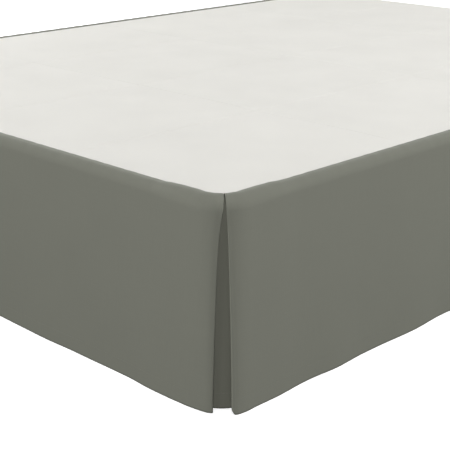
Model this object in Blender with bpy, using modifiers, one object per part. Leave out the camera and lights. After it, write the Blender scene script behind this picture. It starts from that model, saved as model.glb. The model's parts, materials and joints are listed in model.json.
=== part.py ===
"""Tailored bed skirt with an inverted pleat at each foot corner, hung over a plain box spring.

The bed stands on the floor with its foot towards -Y and its head towards +Y. The skirt is a deck
that lies on the box spring, three drop panels sewn round the deck, and a pleat underlay behind
each foot corner. The box spring rests on a steel bed frame with legs and glides.

Units are metres, +Z is up, and the origin is on the floor under the middle of the bed.
"""

import math

import bmesh
import bpy
from mathutils import Vector

# Bed and skirt, at their real sizes.
BED_WIDTH = 1.524
BED_LENGTH = 2.032
SKIRT_DROP = 0.356
HEM_CLEARANCE = 0.008
BOX_SPRING_HEIGHT = 0.190
CORNER_RADIUS = 0.060
EDGE_RADIUS = 0.015

# Cloth.
CLOTH = 0.0010
SEAM_GAP = 0.0003
DECK_SEAM_GAP = 0.0006
SEAM_STRIP = 0.012
DECK_HEAD_SETBACK = 0.020

# Inverted pleats.
PLEAT_DEPTH = 0.075
UNDERLAY_HALF_WIDTH = 0.085
UNDERLAY_SHORTER = 0.0063
PLEAT_SHIFT = 0.006
STACK_END = 0.090
STACK_BLEND = 0.070
RETURN_SETTLES = 0.035
SWING_REACH = 0.260
KICK_WIDTH = 0.040

# How far the middle of each layer of cloth stands off the box spring.
STAND_OFF = {
    "face": {"seam": 0.0008, "edge": 0.0026, "hem": 0.0100},
    "face over pleat": {"seam": 0.0039, "edge": 0.0064, "hem": 0.0108},
    "return": {"seam": 0.0021, "edge": 0.0044, "hem": 0.0045},
    "underlay": {"seam": 0.0008, "edge": 0.0026, "hem": 0.0026},
}

# Pleat edges. start: the edge at the seam, from the pleat's line, away from the foot's middle.
# swing: how far it has moved back along its panel at the hem. roll and top: the shares of that on
# the roll over the box spring's edge and soon below it. curve: how early the rest of it comes.
# kick: how far the edge stands out at the hem. turn_in and sink: how far the edge turns in over its
# last centimetre, below the roll and at the hem. The ease keeps the two edges apart at the seam,
# where the corner is tight.
FOOT_EDGE = {
    "start": -0.0014, "swing": 0.0176, "roll": 0.16, "top": 0.28, "curve": 1.4, "kick": 0.0000,
    "turn_in": 0.0018, "sink": 0.0008,
}
SIDE_EDGE = {
    "start": 0.0007, "swing": 0.0069, "roll": 0.06, "top": 0.20, "curve": 1.75, "kick": 0.0052,
    "turn_in": 0.0000, "sink": 0.0000,
}
TOP_CURVE = 11
TURN_WIDTH = 0.010
SEAM_EASE = 0.0006

# Radius of the soft bend in a pleat edge.
FOOT_BEND = {"seam": 0.0009, "edge": 0.0012, "hem": 0.0018}
SIDE_BEND = {"seam": 0.0009, "edge": 0.0010, "hem": 0.0034}

# Soft folds at the hem, one row each: distance from the foot corner, extra stand-off. The foot's
# distances run from its right corner to its left one.
FOOT_FOLDS = (
    (0.008, -0.0016),
    (0.034, -0.0034),
    (0.060, -0.0010),
    (0.100, 0.0002),
    (0.157, 0.0014),
    (0.223, -0.0021),
    (0.345, -0.0006),
    (0.465, 0.0020),
    (0.600, -0.0002),
    (0.760, 0.0016),
    (0.930, -0.0014),
    (1.080, 0.0017),
    (1.230, -0.0012),
    (1.370, 0.0015),
    (1.462, -0.0022),
    (1.516, -0.0010),
)
RIGHT_FOLDS = (
    (0.013, -0.0010),
    (0.053, 0.0002),
    (0.110, 0.0006),
    (0.206, -0.0020),
    (0.276, 0.0021),
    (0.345, -0.0014),
    (0.400, -0.0012),
    (0.497, 0.0022),
    (0.592, -0.0034),
    (0.720, 0.0012),
    (0.880, -0.0012),
    (1.060, 0.0018),
    (1.230, -0.0014),
    (1.420, 0.0016),
    (1.610, -0.0018),
    (1.800, 0.0014),
    (2.000, 0.0000),
)
LEFT_FOLDS = (
    (0.013, 0.0000),
    (0.080, 0.0016),
    (0.190, -0.0016),
    (0.310, 0.0018),
    (0.450, -0.0014),
    (0.620, 0.0017),
    (0.790, -0.0018),
    (0.980, 0.0015),
    (1.150, -0.0012),
    (1.330, 0.0019),
    (1.520, -0.0015),
    (1.720, 0.0012),
    (2.000, 0.0000),
)
FOLD_GROWTH = 1.5

# Mesh spacing along the cloth.
FLAT_SPACING = 0.042
CURVE_SPACING = 0.0079
NEAR_PLEAT = 0.048
FOLD_STEPS = 6
RETURN_STEPS = 9
ROLL_STEPS = 4
DROP_STEPS = 6
FIRST_DROP_ROW = 0.07
CORNER_STEPS = 8

# Bed frame.
RAIL_SIZE = 0.035
RAIL_THICKNESS = 0.003
RAIL_INSET = 0.020
RAIL_END_SETBACK = 0.055
CROSS_RAIL_PLACES = {"foot": -0.720, "middle": 0.0, "head": 0.720}
LEG_RADIUS = 0.014
GLIDE_RADIUS = 0.021
GLIDE_HEIGHT = 0.014
GLIDE_BEVEL = 0.003
ROUND_SIDES = 16
SHARP_ANGLE = math.radians(40)
PIECE_GAP = 0.0003

# Worked out from the sizes above.
HALF_WIDTH = BED_WIDTH / 2
HALF_LENGTH = BED_LENGTH / 2
BOX_TOP = HEM_CLEARANCE + SKIRT_DROP - CLOTH - SEAM_GAP
BOX_BOTTOM = BOX_TOP - BOX_SPRING_HEIGHT
SEAM_INSET = EDGE_RADIUS + SEAM_STRIP
ROLL_LENGTH = math.pi / 2 * (EDGE_RADIUS + STAND_OFF["face"]["edge"])
HANG_LENGTH = BOX_TOP - EDGE_RADIUS - HEM_CLEARANCE
EDGE_END = SEAM_STRIP + ROLL_LENGTH
CLOTH_LENGTH = EDGE_END + HANG_LENGTH
FOOT_STRAIGHT = HALF_WIDTH - CORNER_RADIUS
CORNER_ARC = CORNER_RADIUS * math.pi / 2
CORNER_MIDDLE = FOOT_STRAIGHT + CORNER_ARC / 2
SIDE_START = FOOT_STRAIGHT + CORNER_ARC
SIDE_END = SIDE_START + BED_LENGTH - 2 * CORNER_RADIUS
HEAD_END = SIDE_END + CORNER_ARC / 2

# Finishes: colour, roughness, metallic.
FINISHES = {
    "skirt_cloth": ((0.165, 0.170, 0.140), 0.85, 0.0),
    "deck_cloth": ((0.80, 0.79, 0.76), 0.90, 0.0),
    "ticking": ((0.72, 0.72, 0.70), 0.85, 0.0),
    "frame_steel": ((0.055, 0.050, 0.046), 0.45, 0.6),
    "glide_plastic": ((0.030, 0.030, 0.030), 0.55, 0.0),
}


def clear_scene():
    """Removes whatever the scene started with."""
    for obj in list(bpy.data.objects):
        bpy.data.objects.remove(obj)


def new_collection(name):
    """A collection in the scene for the part's objects."""
    collection = bpy.data.collections.new(name)
    bpy.context.scene.collection.children.link(collection)
    return collection


def new_material(name):
    """A Principled BSDF material from the table of finishes."""
    colour, roughness, metallic = FINISHES[name]
    material = bpy.data.materials.new(name)
    material.use_nodes = True
    shader = material.node_tree.nodes["Principled BSDF"]
    shader.inputs["Base Color"].default_value = (*colour, 1.0)
    shader.inputs["Roughness"].default_value = roughness
    shader.inputs["Metallic"].default_value = metallic
    return material


def add_object(name, data, material, collection):
    """Links a mesh or curve into the collection with its material."""
    obj = bpy.data.objects.new(name, data)
    data.materials.append(material)
    collection.objects.link(obj)
    return obj


def smooth(share):
    """An even ease from 0 to 1."""
    share = min(max(share, 0.0), 1.0)
    return share * share * (3 - 2 * share)


def mix(low, high, share):
    """The value at a share of the way from low to high."""
    return low + (high - low) * share


def fallen(down):
    """How far down the hanging drop a point is: 0 over the edge, 1 at the hem."""
    return min(max((down - EDGE_END) / HANG_LENGTH, 0.0), 1.0)


def down_the_cloth(row, down):
    """A value given at the seam, over the edge and at the hem, at this distance down the cloth."""
    if down < SEAM_STRIP:
        return mix(row["seam"], row["edge"], smooth(down / SEAM_STRIP))
    return mix(row["edge"], row["hem"], fallen(down))


def round_the_bed(along):
    """The plan point and outward normal at a distance round the box spring.

    The distance is 0 in the middle of the foot and grows to the right; the left side mirrors it.
    """
    side = math.copysign(1.0, along)
    along = abs(along)
    if along <= FOOT_STRAIGHT:
        point, normal = Vector((along, -HALF_LENGTH)), Vector((0, -1))
    elif along <= SIDE_START:
        turn = (along - FOOT_STRAIGHT) / CORNER_RADIUS
        normal = Vector((math.sin(turn), -math.cos(turn)))
        centre = Vector((HALF_WIDTH - CORNER_RADIUS, CORNER_RADIUS - HALF_LENGTH))
        point = centre + normal * CORNER_RADIUS
    elif along <= SIDE_END:
        up_the_side = along - SIDE_START
        point = Vector((HALF_WIDTH, CORNER_RADIUS - HALF_LENGTH + up_the_side))
        normal = Vector((1, 0))
    else:
        turn = (along - SIDE_END) / CORNER_RADIUS
        normal = Vector((math.cos(turn), math.sin(turn)))
        centre = Vector((HALF_WIDTH - CORNER_RADIUS, HALF_LENGTH - CORNER_RADIUS))
        point = centre + normal * CORNER_RADIUS
    return Vector((side * point.x, point.y)), Vector((side * normal.x, normal.y))


def drape(along, down, stand_off):
    """Where cloth lies: over the top strip, round the box spring's edge and down the side."""
    if down <= SEAM_STRIP:
        outward = down - SEAM_INSET
        height = BOX_TOP + stand_off
    elif down <= EDGE_END:
        turn = (down - SEAM_STRIP) / ROLL_LENGTH * math.pi / 2
        outward = (EDGE_RADIUS + stand_off) * math.sin(turn) - EDGE_RADIUS
        height = BOX_TOP - EDGE_RADIUS + (EDGE_RADIUS + stand_off) * math.cos(turn)
    else:
        outward = stand_off
        height = BOX_TOP - EDGE_RADIUS - (down - EDGE_END)
    point, normal = round_the_bed(along)
    plan = point + normal * outward
    return Vector((plan.x, plan.y, height))


def fold_stand_off(folds, distance):
    """The extra stand-off at the hem, eased between the rows of a table of folds."""
    if distance <= folds[0][0]:
        return folds[0][1]
    for (near, low), (far, high) in zip(folds, folds[1:]):
        if distance <= far:
            return mix(low, high, smooth((distance - near) / (far - near)))
    return folds[-1][1]


class PleatEdge:
    """The folded edge of a drop panel at a foot corner.

    side is 1 for the right corner and -1 for the left; body is 1 where the panel lies further
    round the bed to the right than its edge, and -1 where it lies further to the left.
    """

    def __init__(self, side, body, sizes, bend):
        self.side = side
        self.body = body
        self.sizes = sizes
        self.bend = bend
        self.start = side * (CORNER_MIDDLE + PLEAT_SHIFT + sizes["start"])

    def from_corner(self, along):
        """Distance from the bed's right foot corner on the foot panel, or along a side panel."""
        if self.body != self.side:
            return HALF_WIDTH - along
        return abs(along) - SIDE_START + CORNER_RADIUS

    def swing(self, down):
        """How far the edge has moved back along its panel at this distance down the cloth."""
        roll, top = self.sizes["roll"], self.sizes["top"]
        share = roll * smooth((down - SEAM_STRIP) / ROLL_LENGTH)
        share += top * (1 - (1 - fallen(down)) ** TOP_CURVE)
        share += (1 - roll - top) * (1 - (1 - fallen(down)) ** self.sizes["curve"])
        eased = SEAM_EASE * (1 - smooth(down / EDGE_END))
        return self.body * (self.sizes["swing"] * share + eased)

    def place(self, down):
        """Where the edge is, round the bed."""
        return self.start + self.swing(down)


def face_station(edges, folds, along):
    """A column of the panel's face. It leans with the pleat edges that are near it."""

    def at(down):
        place = along
        folded = fold_stand_off(folds, edges[0].from_corner(along))
        extra = folded * fallen(down) ** FOLD_GROWTH
        over_pleat = 0.0
        for edge in edges:
            distance = abs(along - edge.start)
            place += edge.swing(down) * (1 - smooth(distance / SWING_REACH))
            near = 1 - smooth((distance - STACK_END) / STACK_BLEND)
            over_pleat = max(over_pleat, near)
            extra += edge.sizes["kick"] * fallen(down) * (1 - smooth(distance / KICK_WIDTH))
            at_edge = max(1 - distance / TURN_WIDTH, 0.0) ** 2
            lifted = edge.sizes["turn_in"] * smooth(down / EDGE_END) * (1 - fallen(down))
            extra += lifted * (1 - at_edge) * near
            extra -= edge.sizes["sink"] * fallen(down) * at_edge
        plain = down_the_cloth(STAND_OFF["face"], down)
        raised = down_the_cloth(STAND_OFF["face over pleat"], down)
        return place, mix(plain, raised, over_pleat) + extra

    return at


def fold_station(edge, folds, turn):
    """A column on the pleat edge's soft bend. turn is 0 at the face and pi at the return."""
    face = face_station([edge], folds, edge.start)

    def at(down):
        radius = down_the_cloth(edge.bend, down)
        _, stand_off = face(down)
        place = edge.place(down) + edge.body * radius * (1 - math.sin(turn))
        return place, stand_off - radius * (1 - math.cos(turn))

    return at


def return_station(edge, folds, distance):
    """A column of the cloth that turns back behind the face."""
    bend = fold_station(edge, folds, math.pi)

    def at(down):
        place, stand_off = bend(down)
        settled = down_the_cloth(STAND_OFF["return"], down)
        share = smooth(distance / RETURN_SETTLES)
        return place + edge.body * distance, mix(stand_off, settled, share)

    return at


def underlay_station(along):
    """A column of the underlay, which hangs straight down behind the pleat."""

    def at(down):
        return along, down_the_cloth(STAND_OFF["underlay"], down)

    return at


def spaced(start, end, spacing):
    """Even steps from start to end, both included, no further apart than the spacing."""
    count = max(1, math.ceil(round(abs(end - start) / spacing, 6)))
    return [mix(start, end, step / count) for step in range(count + 1)]


def face_places(start, end):
    """Columns across a face: close together round the corners, wider along the straights."""
    turns = [place for place in (-SIDE_END, -SIDE_START, -FOOT_STRAIGHT) if start < place < end]
    turns += [place for place in (FOOT_STRAIGHT, SIDE_START, SIDE_END) if start < place < end]
    places = [start]
    for low, high in zip([start, *turns], [*turns, end]):
        middle = abs(low + high) / 2
        curved = FOOT_STRAIGHT < middle < SIDE_START or middle > SIDE_END
        places += spaced(low, high, CURVE_SPACING if curved else FLAT_SPACING)[1:]
    return places


def pleated_stations(edge, folds):
    """The columns of a panel's return and bend, from the return's cut edge to the face."""
    stations = []
    for step in range(RETURN_STEPS, 0, -1):
        stations.append(return_station(edge, folds, PLEAT_DEPTH * step / RETURN_STEPS))
    for step in range(FOLD_STEPS, -1, -1):
        stations.append(fold_station(edge, folds, math.pi * step / FOLD_STEPS))
    return stations


def drop_distances(cloth_length):
    """Rows down the cloth: the top strip, the roll over the edge, and the hanging drop."""
    rows = [0.0]
    rows += spaced(SEAM_STRIP, EDGE_END, ROLL_LENGTH / ROLL_STEPS)
    rows.append(EDGE_END + HANG_LENGTH * FIRST_DROP_ROW)
    rows += spaced(EDGE_END, cloth_length, HANG_LENGTH / DROP_STEPS)[1:]
    return rows


def hang_cloth(name, stations, cloth_length, material, collection):
    """A flat cut of cloth as a grid, laid over the box spring and given its thickness."""
    rows = drop_distances(cloth_length)
    across, along = len(stations) - 1, len(rows) - 1
    mesh = bpy.data.meshes.new(name)
    cloth = bmesh.new()
    bmesh.ops.create_grid(cloth, x_segments=across, y_segments=along, size=1.0)
    for vertex in cloth.verts:
        column = round((vertex.co.x + 1) / 2 * across)
        row = along - round((vertex.co.y + 1) / 2 * along)
        place, stand_off = stations[column](rows[row])
        vertex.co = drape(place, rows[row], stand_off)
    bmesh.ops.recalc_face_normals(cloth, faces=cloth.faces)
    cloth.to_mesh(mesh)
    cloth.free()
    mesh.shade_smooth()
    obj = add_object(name, mesh, material, collection)
    solidify = obj.modifiers.new("Cloth thickness", "SOLIDIFY")
    solidify.thickness = CLOTH
    solidify.offset = 0.0
    solidify.use_even_offset = True
    return obj


def foot_panel(material, collection):
    """The drop across the foot, with a pleat edge and a return at both ends."""
    left = PleatEdge(-1, 1, FOOT_EDGE, FOOT_BEND)
    right = PleatEdge(1, -1, FOOT_EDGE, FOOT_BEND)
    stations = pleated_stations(left, FOOT_FOLDS)
    for place in face_places(left.start, right.start)[1:-1]:
        stations.append(face_station([left, right], FOOT_FOLDS, place))
    stations += reversed(pleated_stations(right, FOOT_FOLDS))
    return hang_cloth("foot_panel", stations, CLOTH_LENGTH, material, collection)


def side_panel(name, side, folds, material, collection):
    """The drop along one side, with a pleat edge at the foot and a plain edge at the head."""
    edge = PleatEdge(side, side, SIDE_EDGE, SIDE_BEND)
    stations = pleated_stations(edge, folds)
    for place in face_places(abs(edge.start), HEAD_END)[1:]:
        stations.append(face_station([edge], folds, side * place))
    return hang_cloth(name, stations, CLOTH_LENGTH, material, collection)


def pleat_underlay(name, side, material, collection):
    """The cloth behind a foot corner's pleat."""
    middle = CORNER_MIDDLE + PLEAT_SHIFT
    places = face_places(middle - UNDERLAY_HALF_WIDTH, middle + UNDERLAY_HALF_WIDTH)
    stations = [underlay_station(side * place) for place in places]
    return hang_cloth(name, stations, CLOTH_LENGTH - UNDERLAY_SHORTER, material, collection)


def rounded_outline(half_width, low_y, high_y, radius):
    """The corners of a rounded rectangle as arcs, counter-clockwise."""
    outline = []
    centres = (
        (half_width - radius, low_y + radius, -90),
        (half_width - radius, high_y - radius, 0),
        (radius - half_width, high_y - radius, 90),
        (radius - half_width, low_y + radius, 180),
    )
    for x, y, start in centres:
        for step in range(CORNER_STEPS + 1):
            turn = math.radians(start + 90 * step / CORNER_STEPS)
            outline.append((x + radius * math.cos(turn), y + radius * math.sin(turn)))
    return outline


def flat_curve(name, outline, thickness):
    """A filled 2D curve of this outline, extruded to the thickness."""
    curve = bpy.data.curves.new(name, "CURVE")
    curve.dimensions = "2D"
    curve.fill_mode = "BOTH"
    curve.extrude = thickness / 2
    spline = curve.splines.new("POLY")
    spline.points.add(len(outline) - 1)
    for point, (x, y) in zip(spline.points, outline):
        point.co = (x, y, 0.0, 1.0)
    spline.use_cyclic_u = True
    return curve


def deck(material, collection):
    """The flat platform of the skirt, which lies on the box spring inside the seam."""
    inset = SEAM_INSET + DECK_SEAM_GAP
    outline = rounded_outline(
        HALF_WIDTH - inset,
        inset - HALF_LENGTH,
        HALF_LENGTH - DECK_HEAD_SETBACK - SEAM_STRIP,
        CORNER_RADIUS - inset,
    )
    obj = add_object("deck", flat_curve("deck", outline, CLOTH), material, collection)
    obj.location.z = BOX_TOP + SEAM_GAP + CLOTH / 2
    return obj


def box_spring(material, collection):
    """The upholstered base that the skirt falls over: a box with rounded corners and edges."""
    mesh = bpy.data.meshes.new("box_spring")
    body = bmesh.new()
    bmesh.ops.create_cube(body, size=1.0)
    bmesh.ops.scale(body, vec=(BED_WIDTH, BED_LENGTH, BOX_SPRING_HEIGHT), verts=body.verts)
    upright = [e for e in body.edges if abs(e.verts[0].co.z - e.verts[1].co.z) > PIECE_GAP]
    bmesh.ops.bevel(
        body, geom=upright, offset=CORNER_RADIUS, segments=CORNER_STEPS, affect="EDGES", profile=0.5
    )
    rims = [e for e in body.edges if abs(e.verts[0].co.z - e.verts[1].co.z) < PIECE_GAP]
    bmesh.ops.bevel(
        body, geom=rims, offset=EDGE_RADIUS, segments=ROLL_STEPS, affect="EDGES", profile=0.5
    )
    body.to_mesh(mesh)
    body.free()
    mesh.shade_smooth()
    obj = add_object("box_spring", mesh, material, collection)
    obj.location.z = BOX_TOP - BOX_SPRING_HEIGHT / 2
    return obj


def angle_rail(name, length, material, collection):
    """A length of angle iron along its own Z axis, with its corner at the origin."""
    outline = (
        (0, 0),
        (RAIL_SIZE, 0),
        (RAIL_SIZE, RAIL_THICKNESS),
        (RAIL_THICKNESS, RAIL_THICKNESS),
        (RAIL_THICKNESS, RAIL_SIZE),
        (0, RAIL_SIZE),
    )
    return add_object(name, flat_curve(name, outline, length), material, collection)


def side_rails(material, collection):
    """The two long rails under the box spring, each with its flange turned inwards."""
    top = BOX_BOTTOM - PIECE_GAP
    corner = HALF_WIDTH - RAIL_INSET
    length = BED_LENGTH - 2 * RAIL_END_SETBACK
    right = angle_rail("right_rail", length, material, collection)
    right.location = (corner, 0, top)
    right.rotation_euler = (math.radians(90), math.radians(180), 0)
    left = angle_rail("left_rail", length, material, collection)
    left.location = (-corner, 0, top)
    left.rotation_euler = (math.radians(-90), 0, 0)


def cross_rails(material, collection):
    """Three rails across the bed, resting between the side rails' upright flanges."""
    reach = HALF_WIDTH - RAIL_INSET - RAIL_THICKNESS - PIECE_GAP
    top = BOX_BOTTOM - RAIL_THICKNESS - 2 * PIECE_GAP
    for place, y in CROSS_RAIL_PLACES.items():
        rail = angle_rail(f"{place}_cross_rail", 2 * reach, material, collection)
        rail.location = (0, y, top)
        rail.rotation_euler = (math.radians(90), math.radians(180), math.radians(90))


def leg_places():
    """Where the legs stand: three under each side rail and one under the middle cross rail."""
    x = HALF_WIDTH - RAIL_INSET - RAIL_THICKNESS - PIECE_GAP - LEG_RADIUS
    aside = RAIL_SIZE + LEG_RADIUS + PIECE_GAP
    places = {}
    for name, y in CROSS_RAIL_PLACES.items():
        places[f"{name}_right"] = (x, y - aside)
        places[f"{name}_left"] = (-x, y - aside)
    return places


def upright_cylinder(name, radius, low, high, place, material, collection):
    """A closed cylinder between two heights."""
    mesh = bpy.data.meshes.new(name)
    body = bmesh.new()
    bmesh.ops.create_cone(
        body,
        cap_ends=True,
        segments=ROUND_SIDES,
        radius1=radius,
        radius2=radius,
        depth=high - low,
    )
    body.to_mesh(mesh)
    body.free()
    mesh.shade_smooth()
    mesh.set_sharp_from_angle(angle=SHARP_ANGLE)
    obj = add_object(name, mesh, material, collection)
    obj.location = (*place, (low + high) / 2)
    return obj


def legs(steel, plastic, collection):
    """Round legs up to the rails, each standing on a wider glide."""
    under_side_rail = BOX_BOTTOM - RAIL_THICKNESS - 2 * PIECE_GAP
    under_cross_rail = under_side_rail - RAIL_THICKNESS - PIECE_GAP
    middle = CROSS_RAIL_PLACES["middle"] - RAIL_THICKNESS - PIECE_GAP - LEG_RADIUS
    tops = {name: (place, under_side_rail) for name, place in leg_places().items()}
    tops["centre"] = ((0.0, middle), under_cross_rail)
    for name, (place, top) in tops.items():
        low = GLIDE_HEIGHT + PIECE_GAP
        upright_cylinder(f"{name}_leg", LEG_RADIUS, low, top, place, steel, collection)
        glide = upright_cylinder(
            f"{name}_glide", GLIDE_RADIUS, 0.0, GLIDE_HEIGHT, place, plastic, collection
        )
        bevel = glide.modifiers.new("Rounded rim", "BEVEL")
        bevel.width = GLIDE_BEVEL
        bevel.segments = 2
        bevel.limit_method = "ANGLE"


def main():
    clear_scene()
    collection = new_collection("bed_skirt")
    materials = {name: new_material(name) for name in FINISHES}
    cloth, steel = materials["skirt_cloth"], materials["frame_steel"]
    deck(materials["deck_cloth"], collection)
    foot_panel(cloth, collection)
    side_panel("right_panel", 1, RIGHT_FOLDS, cloth, collection)
    side_panel("left_panel", -1, LEFT_FOLDS, cloth, collection)
    pleat_underlay("right_underlay", 1, cloth, collection)
    pleat_underlay("left_underlay", -1, cloth, collection)
    box_spring(materials["ticking"], collection)
    side_rails(steel, collection)
    cross_rails(steel, collection)
    legs(steel, materials["glide_plastic"], collection)


main()
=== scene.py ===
# %% [markdown]
# # A tailored bed skirt, dressed for the picture
# A bed skirt is a flat deck that lies on the box spring, with drop panels sewn round it that hide
# the bed frame. This lesson takes the plain solids of the imported model and lays the real cloth
# over them: fine sheets with turned hems, a soft pleat at each foot corner, sewing and weave.
# The cloth could be simulated, but a tailored skirt hangs almost straight. Its few folds are
# easier to place from short tables, and then they fall where they should every time.

import json
import math

import bmesh
import bpy
import numpy as np
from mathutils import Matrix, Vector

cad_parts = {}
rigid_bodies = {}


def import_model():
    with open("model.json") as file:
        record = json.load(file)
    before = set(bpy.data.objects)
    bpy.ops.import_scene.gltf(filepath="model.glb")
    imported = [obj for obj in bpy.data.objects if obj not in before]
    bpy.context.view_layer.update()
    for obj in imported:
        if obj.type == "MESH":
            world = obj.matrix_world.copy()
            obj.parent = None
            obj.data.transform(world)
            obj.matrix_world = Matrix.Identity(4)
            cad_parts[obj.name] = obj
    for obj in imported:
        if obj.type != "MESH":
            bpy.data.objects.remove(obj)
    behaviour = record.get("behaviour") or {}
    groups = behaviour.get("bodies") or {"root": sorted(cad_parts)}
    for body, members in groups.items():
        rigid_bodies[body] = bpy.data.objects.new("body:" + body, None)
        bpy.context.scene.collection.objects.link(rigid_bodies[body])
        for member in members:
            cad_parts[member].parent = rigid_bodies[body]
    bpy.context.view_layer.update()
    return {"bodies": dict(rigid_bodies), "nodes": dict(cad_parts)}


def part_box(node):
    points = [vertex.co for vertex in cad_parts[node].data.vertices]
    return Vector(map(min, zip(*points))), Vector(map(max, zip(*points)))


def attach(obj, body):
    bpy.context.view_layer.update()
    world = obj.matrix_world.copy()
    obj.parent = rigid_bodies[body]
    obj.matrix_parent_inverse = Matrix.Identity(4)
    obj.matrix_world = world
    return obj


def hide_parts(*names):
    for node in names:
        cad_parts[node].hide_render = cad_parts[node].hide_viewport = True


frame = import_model()
BODY = next(iter(frame["bodies"]))
print("body:", BODY, "nodes:", len(frame["nodes"]))

# %% [markdown]
# ## The camera
# The skirt is seen on its foot corner, from a little above, with a long lens. The place and the
# lens were worked out from the hem and the top edge of both panels, whose real heights are known.

# %% The camera at the bed's foot corner
LOOKS_DOWN = 18.673
LOOKS_LEFT = 44.769


def in_scene(name, data):
    """A new object in the scene."""
    obj = bpy.data.objects.new(name, data)
    bpy.context.scene.collection.objects.link(obj)
    return obj


camera = in_scene("corner_camera", bpy.data.cameras.new("corner_camera"))
camera.data.sensor_width = 36.0
camera.data.lens = 90.78
camera.location = (1.8973, -2.1531, 0.8757)
camera.rotation_euler = (math.radians(90 - LOOKS_DOWN), 0.0, math.radians(LOOKS_LEFT))
bpy.context.scene.camera = camera
print("camera height in metres:", round(camera.location.z, 3))

# %% [markdown]
# ## Sizes
# Everything is in metres, but the tables of folds are in millimetres. These are the sizes that the
# solids were made from, so the cloth can be laid out again over the same box spring, only finer.

# %% Sizes of the bed and of the skirt
HALF_WIDTH = 0.762
HALF_LENGTH = 1.016
HEM_CLEARANCE = 0.008
BOX_TOP = 0.3627
BOX_BOTTOM = 0.1727
DECK_TOP = BOX_TOP + 0.0013
CORNER_RADIUS = 0.060
EDGE_RADIUS = 0.015
EDGE_STAND_OFF = 0.0026
SEAM_STRIP = 0.012
SEAM_INSET = EDGE_RADIUS + SEAM_STRIP
SOLID_THICKNESS = 0.0010
BEND_POINTS = 9
ROLL_LENGTH = math.pi / 2 * (EDGE_RADIUS + EDGE_STAND_OFF)
EDGE_END = SEAM_STRIP + ROLL_LENGTH
HANG_LENGTH = BOX_TOP - EDGE_RADIUS - HEM_CLEARANCE
CLOTH_LENGTH = EDGE_END + HANG_LENGTH

FOOT_STRAIGHT = HALF_WIDTH - CORNER_RADIUS
CORNER_ARC = CORNER_RADIUS * math.pi / 2
CORNER_MIDDLE = FOOT_STRAIGHT + CORNER_ARC / 2
SIDE_START = FOOT_STRAIGHT + CORNER_ARC
SIDE_END = SIDE_START + 2 * (HALF_LENGTH - CORNER_RADIUS)
HEAD_END = SIDE_END + CORNER_ARC / 2
print("drop of the skirt in metres:", round(DECK_TOP - HEM_CLEARANCE, 3))

# %% [markdown]
# ## Round the bed in plan
# A place on the skirt is told by three numbers: how far along the outline it is from the middle
# of the foot, how far down the cloth it is from the seam, and how far it stands off the box
# spring. Small functions turn those numbers into points, for whole arrays at once.

# %% From distances to points
def smooth(share):
    """An even ease from 0 to 1."""
    share = np.clip(share, 0.0, 1.0)
    return share * share * (3 - 2 * share)


def mix(low, high, share):
    """The value at a share of the way from low to high."""
    return low + (high - low) * share


def bell(distance, width):
    """1 at a place, and soon 0 beyond its width."""
    return np.exp(-((distance / width) ** 2))


def round_the_bed(along):
    """Plan points and outward directions at distances to the right of the foot's middle."""
    side = np.where(along < 0, -1.0, 1.0)
    far = np.abs(along)
    foot_turn = np.clip((far - FOOT_STRAIGHT) / CORNER_RADIUS, 0, math.pi / 2)
    head_turn = np.clip((far - SIDE_END) / CORNER_RADIUS, 0, math.pi / 2)
    run = np.clip(far - SIDE_START, 0, SIDE_END - SIDE_START)
    x = np.minimum(far, FOOT_STRAIGHT) + CORNER_RADIUS * (np.sin(foot_turn) + np.cos(head_turn) - 1)
    y = CORNER_RADIUS * (1 - np.cos(foot_turn) + np.sin(head_turn)) + run - HALF_LENGTH
    turn = foot_turn + head_turn
    return side * x, y, side * np.sin(turn), -np.cos(turn)


def off_outline(outline, outward, height):
    """Points at a height, moved outward from an outline's plan points."""
    x, y, out_x, out_y = outline
    return np.stack([x + out_x * outward, y + out_y * outward, 0 * x + height], axis=-1)


def drape(along, down, stand_off):
    """Points on cloth that lies over the top strip, round the edge and down the side."""
    along, down, stand_off = np.broadcast_arrays(along, down, stand_off)
    turn = np.clip((down - SEAM_STRIP) / ROLL_LENGTH, 0, 1) * math.pi / 2
    outward = np.minimum(down, SEAM_STRIP) - SEAM_INSET + (EDGE_RADIUS + stand_off) * np.sin(turn)
    height = BOX_TOP - EDGE_RADIUS + (EDGE_RADIUS + stand_off) * np.cos(turn)
    return off_outline(round_the_bed(along), outward, height - np.maximum(down - EDGE_END, 0))


print("the outline runs", round(HEAD_END, 3), "m from the foot's middle to each head corner")

# %% [markdown]
# ## Where each layer of cloth hangs
# At a pleat the face, its turned-back return and the underlay lie one behind the other, so each
# has its own row of stand-offs: at the seam, over the box spring's edge, and at the hem. The
# cloth swings out a little towards the hem, more on a soft fold, and a table places every fold.

# %% Stand-offs and folds
# Stand-offs and the radii of bends are given at the seam, over the edge and at the hem.
STAND_OFF = {
    "face": (0.0008, EDGE_STAND_OFF, 0.0100),
    "face over pleat": (0.0039, 0.0064, 0.0108),
    "return": (0.0021, 0.0044, 0.0045),
    "underlay": (0.0008, EDGE_STAND_OFF, 0.0026),
}
FOOT_BEND = (0.0009, 0.0012, 0.0018)
SIDE_BEND = (0.0009, 0.0010, 0.0034)
HEAD_BEND = (0.0006, 0.0010, 0.0012)

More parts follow.
